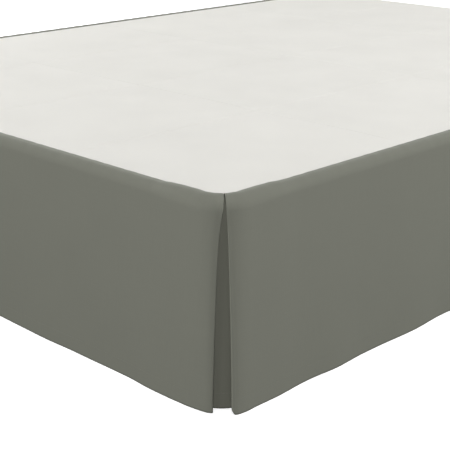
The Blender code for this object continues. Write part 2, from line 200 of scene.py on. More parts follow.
# Each row is the distance from the foot corner and the extra stand-off at the hem, both in
# millimetres. The foot's distances run from its right corner to its left one.
FOOT_FOLDS = (
    (8, -1.6), (34, -3.4), (60, -1), (100, 0.2), (157, 1.4), (223, -2.1), (345, -0.6), (465, 2),
    (600, -0.2), (760, 1.6), (930, -1.4), (1080, 1.7), (1230, -1.2), (1370, 1.5), (1462, -2.2),
    (1516, -1),
)
RIGHT_FOLDS = (
    (13, -1), (53, 0.2), (110, 0.6), (206, -2), (276, 2.1), (345, -1.4), (400, -1.2), (497, 2.2),
    (592, -3.4), (720, 1.2), (880, -1.2), (1060, 1.8), (1230, -1.4), (1420, 1.6), (1610, -1.8),
    (1800, 1.4), (2000, 0),
)
LEFT_FOLDS = (
    (13, 0), (80, 1.6), (190, -1.6), (310, 1.8), (450, -1.4), (620, 1.7), (790, -1.8), (980, 1.5),
    (1150, -1.2), (1330, 1.9), (1520, -1.5), (1720, 1.2), (2000, 0),
)
FOLD_GROWTH = 1.5
STACK_END = 0.090
STACK_BLEND = 0.070
SWING_REACH = 0.260
KICK_WIDTH = 0.040


def fallen(down):
    """How far down the hanging drop a place is: 0 over the edge, 1 at the hem."""
    return np.clip((down - EDGE_END) / HANG_LENGTH, 0, 1)


def down_the_cloth(row, down):
    """A value given at the seam, over the edge and at the hem, at these distances down."""
    seam, edge, hem = row
    strip = mix(seam, edge, smooth(down / SEAM_STRIP))
    return np.where(down < SEAM_STRIP, strip, mix(edge, hem, fallen(down)))


def fold_stand_off(folds, distance):
    """The extra stand-off at the hem, eased between the rows of a table of folds."""
    places, swings = np.array(folds).T / 1000
    distance = np.clip(distance, places[0], places[-1])
    after = np.clip(np.searchsorted(places, distance), 1, len(folds) - 1)
    share = (distance - places[after - 1]) / (places[after] - places[after - 1])
    return mix(swings[after - 1], swings[after], smooth(share))


print("folds placed:", len(FOOT_FOLDS) + len(RIGHT_FOLDS) + len(LEFT_FOLDS))

# %% [markdown]
# ## The inverted pleat
# At each foot corner the foot panel and the side panel stop in a soft folded edge. The two edges
# lie side by side at the top and two fingers apart at the hem. Each panel's cloth turns back
# behind itself. A folded edge is told by where it starts, how far it has swung back by the hem,
# the shares of that swing on the roll and soon below it, and how far it kicks out. The foot's
# edge also turns in softly over its last centimetre. The side's edge is crisper: the iron has
# left a faint groove a few millimetres behind it.

# %% The folded edges
PLEAT_SHIFT = 0.006
PLEAT_DEPTH = 0.075
RETURN_SPACING = 0.006
RETURN_SETTLES = 0.035
SEAM_EASE = 0.0006
TOP_CURVE = 11
TURN_WIDTH = 0.010
GROOVE_PLACE = 0.0036
GROOVE_WIDTH = 0.0019
FOOT_EDGE = {
    "start": -0.0014, "swing": 0.0176, "roll": 0.16, "top": 0.28, "curve": 1.4, "kick": 0.0000,
    "turn_in": 0.0018, "sink": 0.0008, "groove": 0.0000,
}
SIDE_EDGE = {
    "start": 0.0007, "swing": 0.0069, "roll": 0.06, "top": 0.20, "curve": 1.75, "kick": 0.0052,
    "turn_in": 0.0000, "sink": 0.0000, "groove": 0.00020,
}


class FoldedEdge:
    """A panel's folded edge at a foot corner. side is 1 at the right corner and -1 at the left;
    body is the way along the bed in which the panel lies from its edge."""

    def __init__(self, side, body, sizes, bend):
        self.side = side
        self.body = body
        self.sizes = sizes
        self.bend = bend
        self.start = side * (CORNER_MIDDLE + PLEAT_SHIFT + sizes["start"])

    def from_corner(self, along):
        """Distance from the bed's right foot corner on the foot panel, or along a side panel."""
        if self.body != self.side:
            return HALF_WIDTH - along
        return np.abs(along) - SIDE_START + CORNER_RADIUS

    def swing(self, down):
        """How far the edge has moved back along its panel."""
        roll, top = self.sizes["roll"], self.sizes["top"]
        share = roll * smooth((down - SEAM_STRIP) / ROLL_LENGTH)
        share = share + top * (1 - (1 - fallen(down)) ** TOP_CURVE)
        share = share + (1 - roll - top) * (1 - (1 - fallen(down)) ** self.sizes["curve"])
        eased = SEAM_EASE * (1 - smooth(down / EDGE_END))
        return self.body * (self.sizes["swing"] * share + eased)


def face_columns(edges, folds, start, down):
    """Where a panel's face runs. It leans with the folded edges that are near it."""
    along = start + 0 * down
    folded = fold_stand_off(folds, edges[0].from_corner(start))
    stand_off = folded * fallen(down) ** FOLD_GROWTH
    over_pleat = 0 * start
    for edge in edges:
        distance = np.abs(start - edge.start)
        along = along + edge.swing(down) * (1 - smooth(distance / SWING_REACH))
        near = 1 - smooth((distance - STACK_END) / STACK_BLEND)
        over_pleat = np.maximum(over_pleat, near)
        kicked = edge.sizes["kick"] * fallen(down)
        stand_off = stand_off + kicked * (1 - smooth(distance / KICK_WIDTH))
        at_edge = np.clip(1 - distance / TURN_WIDTH, 0, 1) ** 2
        lifted = edge.sizes["turn_in"] * smooth(down / EDGE_END) * (1 - fallen(down))
        stand_off = stand_off + lifted * (1 - at_edge) * near
        stand_off = stand_off - edge.sizes["sink"] * fallen(down) * at_edge
        pressed = edge.sizes["groove"] * smooth(down / EDGE_END)
        stand_off = stand_off - pressed * bell(distance - GROOVE_PLACE, GROOVE_WIDTH)
    plain = down_the_cloth(STAND_OFF["face"], down)
    raised = down_the_cloth(STAND_OFF["face over pleat"], down)
    return along, stand_off + mix(plain, raised, over_pleat)


def turned_columns(edge_along, face_off, body, bend, depth, down, settled=None):
    """Cloth that turns back round an edge: the far end of the return first, the face last. The
    return may settle at a stand-off of its own."""
    radius = down_the_cloth(bend, down)
    turns = np.linspace(math.pi, 0, BEND_POINTS)[None, :]
    bend_along = edge_along + body * radius * (1 - np.sin(turns))
    bend_off = face_off - radius * (1 - np.cos(turns))
    back = np.linspace(depth, 0, max(3, round(depth / RETURN_SPACING)) + 1)[None, :-1]
    behind = bend_off[:, :1]
    return_off = mix(behind, behind if settled is None else settled, smooth(back / RETURN_SETTLES))
    return_along = bend_along[:, :1] + body * back
    return np.hstack([return_along, bend_along]), np.hstack([return_off, bend_off])


def pleat_columns(edge, folds, down):
    """The return and the soft bend at a folded edge."""
    along, face_off = face_columns([edge], folds, np.array([[edge.start]]), down)
    settled = down_the_cloth(STAND_OFF["return"], down)
    return turned_columns(along, face_off, edge.body, edge.bend, PLEAT_DEPTH, down, settled)


print("pleat depth in metres:", PLEAT_DEPTH)

# %% [markdown]
# ## The hem
# A hem is part of its cloth: the cloth turns round at the bottom and runs back up inside, where a
# row of stitches holds it. On the grid that only means more rows. They follow the rows above them
# again, one layer further in, along the cloth's own normals. So the hem also turns correctly
# inside a pleat, where the cloth faces the other way.

# %% Rows down the cloth, and the turned hem
CLOTH_THICKNESS = 0.00045
HEM_TURN = 0.0005
HEM_ROUND = 0.0012
HEM_DEPTH = 0.026
DIP_LENGTH = 0.003


def steps(start, end, spacing):
    """Even steps from start to end, both included."""
    return np.linspace(start, end, max(1, math.ceil((end - start) / spacing - 1e-6)) + 1)


def rows_down(length):
    """Distances down the cloth, closest together where it bends."""
    hem = length - HEM_ROUND - CLOTH_THICKNESS / 2
    stitch_line = hem - HEM_DEPTH
    parts = [
        steps(0, DIP_LENGTH, 0.001),
        steps(DIP_LENGTH, SEAM_STRIP, 0.003),
        steps(SEAM_STRIP, EDGE_END, 0.0023),
        steps(EDGE_END, stitch_line, 0.006),
        steps(stitch_line, hem, 0.004),
    ]
    return np.unique(np.round(np.concatenate(parts), 7))[:, None]


def cloth_normals(points):
    """Unit normals of a grid of points, on the cloth's right side."""
    normals = np.cross(np.gradient(points, axis=0), np.gradient(points, axis=1))
    return normals / np.maximum(np.linalg.norm(normals, axis=-1, keepdims=True), 1e-12)


def with_hem(points, normals, down):
    """The grid with its hem turned up on the wrong side."""
    last, out = points[-1], normals[-1]
    layers = [points]
    for turn in np.linspace(0, math.pi, BEND_POINTS)[1:]:
        place = last + out * HEM_TURN * (math.cos(turn) - 1)
        place[:, 2] -= HEM_ROUND * math.sin(turn)
        layers.append(place[None])
    hem_start = down[-1, 0] - HEM_DEPTH - 1e-6
    for row in range(len(points) - 2, 0, -1):
        if down[row, 0] >= hem_start:
            layers.append((points[row] - normals[row] * 2 * HEM_TURN)[None])
    return np.concatenate(layers)


print("hem turned up by", HEM_DEPTH, "m, in cloth", CLOTH_THICKNESS, "m thick")

# %% [markdown]
# ## From a grid to a sheet of cloth
# The mesh also gets a UV map in metres, measured along the cloth as if it lay flat. The weave
# follows that map, so its threads stay the same size and turn with the cloth at every fold.
# Solidify gives the sheet its thickness and closes its edges.

# %% A sheet from a grid of points
def new_mesh(name, points, edges=(), faces=()):
    mesh = bpy.data.meshes.new(name)
    mesh.from_pydata(points, edges, faces)
    return mesh


def grid_mesh(name, points, flat, closed=False):
    """A mesh through a grid of points, with its flat map. A closed one joins round both ways."""
    rows, columns = points.shape[:2]
    index = np.arange(rows * columns).reshape(rows, columns)
    ahead, across = np.roll(index, -1, axis=0), np.roll(index, -1, axis=1)
    corners = np.stack([index, ahead, np.roll(ahead, -1, axis=1), across], axis=-1)
    faces = (corners if closed else corners[:-1, :-1]).reshape(-1, 4)
    mesh = new_mesh(name, points.reshape(-1, 3).tolist(), faces=faces.tolist())
    uv = mesh.uv_layers.new(name="flat_cloth")
    uv.data.foreach_set("uv", flat[faces.ravel()].astype(np.float32).ravel())
    return mesh


def new_object(name, mesh, material):
    """An object at the origin with its material and smooth shading."""
    mesh.materials.append(material)
    mesh.shade_smooth()
    return in_scene(name, mesh)


def hand_over(piece, slot, *nodes):
    """Puts a piece on the bed's body, and in place of the solids it stands for. Its slot is not
    used.
    """
    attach(piece, BODY)
    if nodes:
        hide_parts(*nodes)


def flat_distances(points, axis):
    """Distances along the cloth, in rows or columns, at the grid's middle."""
    middle = points.shape[1 - axis] // 2
    line = points[:, middle] if axis == 0 else points[middle]
    return np.concatenate([[0], np.cumsum(np.linalg.norm(np.diff(line, axis=0), axis=1))])


def cloth_sheet(name, points, material, thickness=CLOTH_THICKNESS, fold_row=0):
    """A sheet through a grid of points, with its flat size. The map is measured from fold_row."""
    across, length = flat_distances(points, 1), flat_distances(points, 0)
    flat = np.stack(np.meshgrid(across, length - length[fold_row]), axis=-1).reshape(-1, 2)
    cloth = new_object(name, grid_mesh(name, points, flat), material)
    thicken = cloth.modifiers.new("cloth thickness", "SOLIDIFY")
    thicken.thickness = thickness
    thicken.offset = 0.0
    cut = float(across[-1]), float(length[-1])
    print(name, "cut", round(cut[0], 3), "by", round(cut[1], 3), "m")
    return cloth, cut


# %% [markdown]
# ## Materials
# A cloth's look is mostly in its threads. The weave here is worked out from the flat map: at
# every crossing one thread lies over the other, like a chequerboard, and each thread is round.
# The same helper weaves every cloth on the bed, at its own thread spacing.

# %% Helpers for materials
def new_material(name, colour, looks):
    """A material with its colour and other looks, and its Principled shader to add to."""
    material = bpy.data.materials.new(name)
    material.use_nodes = True
    shader = material.node_tree.nodes["Principled BSDF"]
    for label, value in {"Base Color": (*colour, 1.0), **looks}.items():
        feed(shader, label, value)
    return material, shader


def feed(node, label, value):
    """Gives a node's input a plain value, or links it to a socket."""
    if isinstance(value, bpy.types.NodeSocket):
        node.id_data.links.new(value, node.inputs[label])
    else:
        node.inputs[label].default_value = value


def add_node(kind, inputs, **settings):
    """A node with its settings, in the tree of the sockets that feed it."""
    sockets = [value for value in inputs.values() if isinstance(value, bpy.types.NodeSocket)]
    node = sockets[0].id_data.nodes.new(kind)
    for setting, value in settings.items():
        setattr(node, setting, value)
    for label, value in inputs.items():
        feed(node, label, value)
    return node


def maths(operation, *values):
    return add_node("ShaderNodeMath", dict(enumerate(values)), operation=operation).outputs[0]


def total(*values):
    """The sum of several values."""
    result = values[0]
    for value in values[1:]:
        result = maths("ADD", result, value)
    return result


def mapped(shader, kind, scale=(1, 1, 1)):
    """UV or Object coordinates, stretched by a scale for each axis."""
    place = shader.id_data.nodes.new("ShaderNodeTexCoord").outputs[kind]
    return add_node("ShaderNodeMapping", {"Vector": place, "Scale": scale}).outputs["Vector"]


def noise(vector, scale, detail=3.0):
    """The value of a noise texture."""
    inputs = {"Vector": vector, "Scale": scale, "Detail": detail}
    return add_node("ShaderNodeTexNoise", inputs).outputs["Fac"]


def between(value, low, high, from_low=0.3, from_high=0.7):
    """A value spread to a new range."""
    inputs = {
        "Value": value, "From Min": from_low, "From Max": from_high, "To Min": low, "To Max": high,
    }
    return add_node("ShaderNodeMapRange", inputs).outputs["Result"]


def tint(shader, colour, amount):
    """The colour made lighter and darker by an amount that changes over the surface."""
    channels = dict.fromkeys(("Red", "Green", "Blue"), amount)
    grey = add_node("ShaderNodeCombineColor", channels).outputs["Color"]
    inputs = {"Factor": 1.0, "A": (*colour, 1.0), "B": grey}
    node = add_node("ShaderNodeMix", inputs, data_type="RGBA", blend_type="MULTIPLY")
    feed(shader, "Base Color", node.outputs["Result"])


def raise_surface(shader, height, depth, strength):
    """A bump of this real depth."""
    inputs = {"Height": height, "Distance": depth, "Strength": strength}
    feed(shader, "Normal", add_node("ShaderNodeBump", inputs).outputs["Normal"])


def plain_weave(vector, pitch):
    """The height of a plain weave: round threads that take turns to lie on top."""
    split = add_node("ShaderNodeSeparateXYZ", {0: vector}).outputs
    warp = maths("SINE", maths("MULTIPLY", split["X"], math.pi / pitch))
    weft = maths("SINE", maths("MULTIPLY", split["Y"], math.pi / pitch))
    over = maths("GREATER_THAN", maths("MULTIPLY", warp, weft), 0.0)
    under = maths("SUBTRACT", 1.0, over)
    warp_high = maths("MULTIPLY", maths("ABSOLUTE", warp), over)
    weft_high = maths("MULTIPLY", maths("ABSOLUTE", weft), under)
    return maths("ADD", warp_high, weft_high)


# %% [markdown]
# ## The skirt's cloth
# The cloth is a brushed microfibre, dyed a grey sage green. It is smooth and matt, but its short
# nap catches light at a glancing angle, which the sheen gives. Thicker threads run here and there
# down the piece, and the dye is a little uneven over a hand's width. A thin darker line is painted
# along the hem's fold, as painted shade where the hem turns under. The pleat's underlay gets a
# darker copy of the same cloth, as painted shade for the pleat's recess.

# %% The sage cloth
SAGE = (0.172, 0.176, 0.146)
# The underlay's colour: the sage darkened, as painted shade for the pleat's recess.
SAGE_IN_PAINTED_SHADE = (0.133, 0.135, 0.110)
SAGE_LOOKS = {
    "Roughness": 0.88, "Specular IOR Level": 0.25, "Sheen Weight": 0.12, "Sheen Roughness": 0.45,
    "Sheen Tint": (0.80, 0.84, 0.76, 1.0),
}
SAGE_THREADS = 0.00030
# Painted shade along the hem's fold: how much darker it is, and over what width.
HEM_PAINTED_SHADE = 0.28
HEM_PAINTED_SHADE_WIDTH = 0.0026


def sage_cloth(name, colour):
    material, shader = new_material(name, colour, SAGE_LOOKS)
    threads = mapped(shader, "UV")
    weave = plain_weave(threads, SAGE_THREADS)
    slubs = noise(mapped(shader, "UV", (1400, 18, 1)), 1.0)
    cross_slubs = noise(mapped(shader, "UV", (12, 1200, 1)), 1.0)
    clouds = noise(threads, 9.0)
    nap = noise(threads, 2600.0, 2.0)
    dye = total(between(slubs, -0.022, 0.022), between(clouds, -0.012, 0.012))
    woven = between(weave, -0.05, 0.03, 0.0, 1.0)
    shade = total(dye, between(cross_slubs, -0.016, 0.016), woven, 1.0)
    # Painted shade: a thin darker line along the hem's fold, where the turned hem faces down.
    from_fold = maths("ABSOLUTE", add_node("ShaderNodeSeparateXYZ", {0: threads}).outputs["Y"])
    hem_painted_shade = between(from_fold, 1 - HEM_PAINTED_SHADE, 1.0, 0.0, HEM_PAINTED_SHADE_WIDTH)
    tint(shader, colour, maths("MULTIPLY", shade, hem_painted_shade))
    relief = ((weave, 0.6), (nap, 0.3), (slubs, 0.35))
    height = total(*(maths("MULTIPLY", value, share) for value, share in relief))
    raise_surface(shader, height, 0.00008, 0.45)
    feed(shader, "Roughness", between(clouds, 0.84, 0.92))
    return material


SKIRT = sage_cloth("sage_microfibre", SAGE)
# The underlays' cloth: a darker copy of the sage, as painted shade.
UNDERLAY = sage_cloth("sage_microfibre_painted_shade", SAGE_IN_PAINTED_SHADE)
print("thread spacing of the skirt's cloth in metres:", SAGE_THREADS)

# %% [markdown]
# ## The drop panels
# Each panel is one cut of cloth. The foot panel turns back at both ends. A side panel turns back
# at the foot corner and ends in a narrow plain hem at the head. The cloth also puckers very
# slightly where it is sewn, which a sum of two waves of unlike length gives without a pattern.

# %% Hang the panels
COLUMN_SPACING = 0.0065
HEAD_HEM = 0.014
BESIDE_EDGE = np.array([0.9, 1.8, 2.7, 3.6, 4.5, 5.4, 6.6, 8.0, 10.0, 12.5, 15.5, 20.0]) / 1000
SEAM_DIP = 0.0006
SEAM_PUCKER = 0.00022
PUCKER_REACH = 0.022
HANGING_PUCKER = 0.00015
PUCKER_STARTS = 0.012
BEND_PUSHES = 0.020
CORNER_RISE = 0.0095
CORNER_REACH = 0.0018
CORNER_SAG = 0.0012
SAG_REACH = 0.010

# Each wave has its length, its start and its slant down the cloth.
SEWN_WAVES = ((0.0049, 0.0, 0), (0.0077, 1.3, 0))
SLOW_WAVES = ((0.017, 0.4, 3), (0.0263, 2.1, -2))


def waves(rows, along, down):
    return sum(np.sin(along / length + start + down * slant) for length, start, slant in rows)


def pucker(along, down):
    """The small unevenness of sewn cloth: at the seam, and faintly all over."""
    near_seam = SEAM_PUCKER * bell(down - SEAM_STRIP, PUCKER_REACH)
    hanging = HANGING_PUCKER * smooth(fallen(down) * 3)
    return near_seam * waves(SEWN_WAVES, along, down) + hanging * waves(SLOW_WAVES, along, down)


def hang_panel(name, node, columns, down, material=SKIRT):
    """Makes a cut of the skirt's cloth from its columns, in place of its solid."""
    along, stand_off, raised = columns
    dip = SEAM_DIP * (1 - smooth(down / DIP_LENGTH))
    points = drape(along, down - raised, stand_off - dip)
    normals = cloth_normals(points)
    points = points + normals * (SOLID_THICKNESS - CLOTH_THICKNESS) / 2
    grid = with_hem(points, normals, down)
    cloth, flat = cloth_sheet(name, grid, material, fold_row=len(points) - 1)
    hand_over(cloth, "skirt_cloth", node)
    sewn_row = int(np.argmin(np.abs(down[:, 0] - (down[-1, 0] - HEM_DEPTH))))
    return {"cloth": cloth, "flat": flat, "line": points[sewn_row], "out": normals[sewn_row]}


def face_starts(first, last, folded_last):
    """Where the columns of a face start. They are closest together beside its folded edges."""
    last_near = last - BESIDE_EDGE[::-1] if folded_last else np.array([last - COLUMN_SPACING])
    middle = steps(first + BESIDE_EDGE[-1], last_near[0], COLUMN_SPACING)[1:-1]
    return np.concatenate([first + BESIDE_EDGE, middle, last_near])[None, :]


def face_with_pucker(edges, folds, start, down):
    """A face with its pucker, which fades out beside the pressed edges. The bend of an edge takes
    up some width, and it pushes the nearest columns along by that."""
    along, stand_off = face_columns(edges, folds, start, down)
    for edge in edges:
        beside = np.clip(1 - np.abs(start - edge.start) / BEND_PUSHES, 0, 1) ** 2
        along = along + edge.body * down_the_cloth(edge.bend, down) * beside
    distance = np.min([np.abs(start - edge.start) for edge in edges], axis=0)
    return along, stand_off + pucker(start, down) * smooth(distance / PUCKER_STARTS)


def hem_corner(edge, along, down):
    """How far the hem is drawn up at a folded edge, where its layers are thickest. Just inside
    the edge it sags a little instead."""
    inside = np.abs(along - edge.start - edge.swing(down))
    near_hem = smooth((down - down[-1] + HEM_DEPTH) / HEM_DEPTH)
    drawn_up = CORNER_RISE * np.exp(-inside / CORNER_REACH)
    return near_hem * (drawn_up - CORNER_SAG * bell(inside, SAG_REACH))


def whole_panel(first, face, last):
    """All the columns of a panel: one turned end, the face, and the other end."""
    return [np.hstack([one, own, other[:, ::-1]]) for one, own, other in zip(first, face, last)]


def foot_columns(down):
    left, right = (FoldedEdge(side, -side, FOOT_EDGE, FOOT_BEND) for side in (-1, 1))
    start = face_starts(left.start, right.start, True)
    face = face_with_pucker([left, right], FOOT_FOLDS, start, down)
    ends = [pleat_columns(edge, FOOT_FOLDS, down) for edge in (left, right)]
    along, stand_off = whole_panel(ends[0], face, ends[1])
    return along, stand_off, 0 * along


def side_columns(side, folds, down):
    edge = FoldedEdge(side, side, SIDE_EDGE, SIDE_BEND)
    start = side * face_starts(abs(edge.start), HEAD_END, False)
    face = face_with_pucker([edge], folds, start, down)
    head_along = np.full_like(down, side * HEAD_END)
    head = turned_columns(head_along, face[1][:, -1:], -side, HEAD_BEND, HEAD_HEM, down)
    along, stand_off = whole_panel(pleat_columns(edge, folds, down), face, head)
    return [part[:, ::side] for part in (along, stand_off, hem_corner(edge, along, down))]


panel_rows = rows_down(CLOTH_LENGTH)
panels = {"foot_hem": hang_panel("foot_drop", "foot_panel", foot_columns(panel_rows), panel_rows)}
for name, side, folds in (("right", 1, RIGHT_FOLDS), ("left", -1, LEFT_FOLDS)):
    columns = side_columns(side, folds, panel_rows)
    panels[name + "_hem"] = hang_panel(name + "_drop", name + "_panel", columns, panel_rows)

# %% [markdown]
# ## The pleat underlays
# Behind each pleat hangs a flat piece of the same cloth. It is cut a little shorter, so that it
# never shows below the panels, and it lies close to the box spring, in the pleat's shade. Its
# cloth is a darker copy of the sage, so that shade is also painted into its colour.

# %% Hang the underlays
UNDERLAY_HALF_WIDTH = 0.085
UNDERLAY_SHORTER = 0.0063
UNDERLAY_PUCKER = 0.4


def underlay_columns(side, down):
    middle = CORNER_MIDDLE + PLEAT_SHIFT
    start = steps(middle - UNDERLAY_HALF_WIDTH, middle + UNDERLAY_HALF_WIDTH, COLUMN_SPACING)
    start = side * start[None, ::side]
    stand_off = down_the_cloth(STAND_OFF["underlay"], down) + UNDERLAY_PUCKER * pucker(start, down)
    return start + 0 * down, stand_off, 0 * stand_off


underlay_rows = rows_down(CLOTH_LENGTH - UNDERLAY_SHORTER)
for name, side in (("right_underlay", 1), ("left_underlay", -1)):
    columns = underlay_columns(side, underlay_rows)
    panels[name] = hang_panel(name + "_cloth", name, columns, underlay_rows, UNDERLAY)

# %% [markdown]
# ## The deck
# The deck is a cheap plain off-white cloth, because it is covered in use. It came folded in its
# packing, so it keeps shallow creases in a grid, and it is pulled a little unevenly at its seam.
# Its grid has extra rows and columns at each crease, so that they stay fine.

# %% The deck's cloth
DECK_THICKNESS = 0.0005
DECK_THREADS = 0.00055
DECK_HEAD = HALF_LENGTH - 0.032
DECK_INSET = SEAM_INSET + 0.0004
DECK_CREASES_X = (-0.372, 0.004, 0.366)
DECK_CREASES_Y = (-0.520, -0.012, 0.498)
BESIDE_CREASE = np.array([-12, -7, -4, -2, 0, 2, 4, 7, 12]) / 1000
CREASE_CLEAR = 0.014
CREASE_WANDERS = 0.003
RIDGE_HEIGHT, RIDGE_WIDTH = 0.0013, 0.0030
TROUGH_DEPTH, TROUGH_WIDTH = 0.0004, 0.010
DECK_SPACING_X, DECK_SPACING_Y = 0.018, 0.016
RIM_SHARES = (0.9985, 1.0)
INSIDE_RIM = 0.997
HELD_WIDTH = 0.05
DECK_PULL = 0.00016
RIM_DROP, RIM_WIDTH = 0.0003, 0.004
OFF_WHITE = (0.76, 0.75, 0.71)


def deck_cloth():
    looks = {"Roughness": 0.9, "Specular IOR Level": 0.2}
    material, shader = new_material("off_white_deck_cloth", OFF_WHITE, looks)
    threads = mapped(shader, "UV")
    weave = plain_weave(threads, DECK_THREADS)
    fibres = noise(threads, 900.0, 4.0)
    clouds = noise(threads, 6.0)
    woven, cloudy = between(weave, -0.05, 0.02, 0.0, 1.0), between(clouds, -0.02, 0.02)
    tint(shader, OFF_WHITE, total(woven, cloudy, between(fibres, -0.03, 0.03), 1.0))
    raise_surface(shader, total(weave, maths("MULTIPLY", fibres, 0.5)), 0.00012, 0.5)
    return material


def with_creases(places, creases):
    """The places with more of them beside each crease."""
    extra = np.concatenate([crease + BESIDE_CREASE for crease in creases])
    kept = [place for place in places if np.abs(place - np.array(creases)).min() > CREASE_CLEAR]
    return np.unique(np.round(np.concatenate([kept, extra]), 6))


def crease_height(distance):
    """A pressed crease: a low ridge with a shallow trough on both sides."""
    return RIDGE_HEIGHT * bell(distance, RIDGE_WIDTH) - TROUGH_DEPTH * bell(distance, TROUGH_WIDTH)


def deck_plan():
    """The deck's places in plan, in rows and columns, and how far in from its rim each is."""
    half = HALF_WIDTH - DECK_INSET
    foot, radius = DECK_INSET - HALF_LENGTH, CORNER_RADIUS - DECK_INSET
    arc = radius * (1 - np.cos(np.linspace(0, math.pi / 2, BEND_POINTS)))
    rows = np.arange(foot + radius, DECK_HEAD - radius, DECK_SPACING_Y)
    rows = with_creases(rows, DECK_CREASES_Y)
    rows = np.concatenate([foot + arc, rows[1:], DECK_HEAD - arc[::-1]])
    beyond = np.maximum(foot + radius - rows, rows - (DECK_HEAD - radius))
    beyond = np.clip(beyond, 0, radius)
    reach = (half - radius + np.sqrt(radius**2 - beyond**2))[:, None]
    across = with_creases(np.arange(-half, half + 1e-6, DECK_SPACING_X), DECK_CREASES_X) / half
    rim = np.array(RIM_SHARES)
    across = np.concatenate([-rim[::-1], across[np.abs(across) < INSIDE_RIM], rim])
    x = reach * across
    y = rows[:, None] + 0 * x
    return x, y, np.minimum(reach - np.abs(x), np.minimum(y - foot, DECK_HEAD - y))


def deck_points():
    x, y, inside = deck_plan()
    free = smooth(inside / HELD_WIDTH)
    z = DECK_TOP - DECK_THICKNESS / 2 + 0 * x
    for number, (across, along) in enumerate(zip(DECK_CREASES_X, DECK_CREASES_Y)):
        z += free * crease_height(x - across - CREASE_WANDERS * np.sin(y * 3 + number))
        z += free * crease_height(y - along - CREASE_WANDERS * np.sin(x * 4 + number))
    pulled = np.sin(x / 0.031 + 1.0) * np.sin(y / 0.047) + 0.6 * np.sin(x / 0.083 - y / 0.059)
    z += DECK_PULL * free * pulled
    z -= RIM_DROP * (1 - smooth(inside / RIM_WIDTH))
    return np.stack([x, y, z], axis=-1)[::-1]


deck, deck_flat = cloth_sheet("deck_sheet", deck_points(), deck_cloth(), DECK_THICKNESS)
hand_over(deck, "deck_cloth", "deck")

# %% [markdown]
# ## Sewing
# Stitches repeat along a line, which is work for Geometry Nodes. The tree turns a line into a
# curve, puts a point on it for every stitch, and sets a tiny thread-shaped bead on each point.
# Its sizes are named inputs. Realize Instances and Set Material end the tree, so that the result
# is a plain mesh, and then the result is kept and the modifier goes.

# %% A tree that sews along a line
def new_tree(name, sizes):
    """A geometry tree with named inputs for its sizes, what they give, and its output node."""
    tree = bpy.data.node_groups.new(name, "GeometryNodeTree")
    tree.interface.new_socket("Geometry", in_out="INPUT", socket_type="NodeSocketGeometry")
    for label, kind in sizes.items():
        tree.interface.new_socket(label, in_out="INPUT", socket_type=kind)
    tree.interface.new_socket("Geometry", in_out="OUTPUT", socket_type="NodeSocketGeometry")
    return tree, tree.nodes.new("NodeGroupInput").outputs, tree.nodes.new("NodeGroupOutput")


def end_tree(places, finish, made):
    """Sets a shape on its points, makes the copies real and gives them their material."""
    placed = add_node("GeometryNodeInstanceOnPoints", places).outputs["Instances"]
    real = add_node("GeometryNodeRealizeInstances", {"Geometry": placed}).outputs["Geometry"]
    painted = add_node("GeometryNodeSetMaterial", {"Geometry": real, "Material": finish})
    feed(made, "Geometry", painted.outputs["Geometry"])


def sewing_tree():
    sizes = dict.fromkeys(("Stitch spacing", "Stitch length", "Thread width"), "NodeSocketFloat")
    sizes["Thread"] = "NodeSocketMaterial"
    tree, given, made = new_tree("sew_along_a_line", sizes)
    curve = add_node("GeometryNodeMeshToCurve", {"Mesh": given["Geometry"]}).outputs["Curve"]
    spaced = {"Curve": curve, "Length": given["Stitch spacing"]}
    points = add_node("GeometryNodeCurveToPoints", spaced, mode="LENGTH").outputs
    bead = tree.nodes.new("GeometryNodeMeshIcoSphere")
    feed(bead, "Radius", 0.5)
    feed(bead, "Subdivisions", 1)
    soft = add_node("GeometryNodeSetShadeSmooth", {"Geometry": bead.outputs["Mesh"]})
    size = {"X": given["Thread width"], "Y": given["Thread width"], "Z": given["Stitch length"]}
    places = {
        "Points": points["Points"],
        "Rotation": points["Rotation"],
        "Instance": soft.outputs["Geometry"],
        "Scale": add_node("ShaderNodeCombineXYZ", size).outputs["Vector"],
    }
    end_tree(places, given["Thread"], made)
    return tree


def grow(name, tree, base_mesh, values, slot, *nodes):
    """Runs a tree on a mesh and keeps the result as a plain piece."""
    base = in_scene(name + "_base", base_mesh)
    modifier = base.modifiers.new("grow", "NODES")
    modifier.node_group = tree
    for socket in tree.interface.items_tree:
        if socket.name in values:
            modifier[socket.identifier] = values[socket.name]
    graph = bpy.context.evaluated_depsgraph_get()
    mesh = bpy.data.meshes.new_from_object(base.evaluated_get(graph))
    mesh.name = name
    bpy.data.objects.remove(base)
    piece = in_scene(name, mesh)
    hand_over(piece, slot, *nodes)
    print(name, "has", len(mesh.polygons), "faces")
    return piece


def lines_mesh(name, lines):
    """A mesh of edges only, one chain for each line of points."""
    points, edges = [], []
    for line in lines:
        first = len(points)
        points += [tuple(point) for point in line]
        edges += [(index, index + 1) for index in range(first, len(points) - 1)]
    return new_mesh(name, points, edges)


def thread_material(name, colour):
    looks = {"Roughness": 0.6, "Sheen Weight": 0.2}
    material, shader = new_material(name, colour, looks)
    twist = noise(mapped(shader, "Object", (900, 900, 900)), 1.0, 1.0)
    tint(shader, colour, between(twist, 0.88, 1.10))
    raise_surface(shader, twist, 0.00005, 0.3)
    return material


SEWING = sewing_tree()
SAGE_THREAD = thread_material("sage_thread", (0.150, 0.155, 0.126))
WHITE_THREAD = thread_material("off_white_thread", (0.70, 0.69, 0.65))

# %% [markdown]
# The hem's stitches show on both sides of the cloth. The row on the right side lies just on the
# surface, and the row inside lies on the turned-up layer.

# %% Sew the hems and the deck
STITCH = {"Stitch spacing": 0.0031, "Stitch length": 0.0027, "Thread width": 0.00034}
THREAD_PROUD = 0.00004
DECK_SEAM_BACK = DECK_INSET + 0.0045
DECK_SEAM_STOPS = DECK_HEAD - 0.006


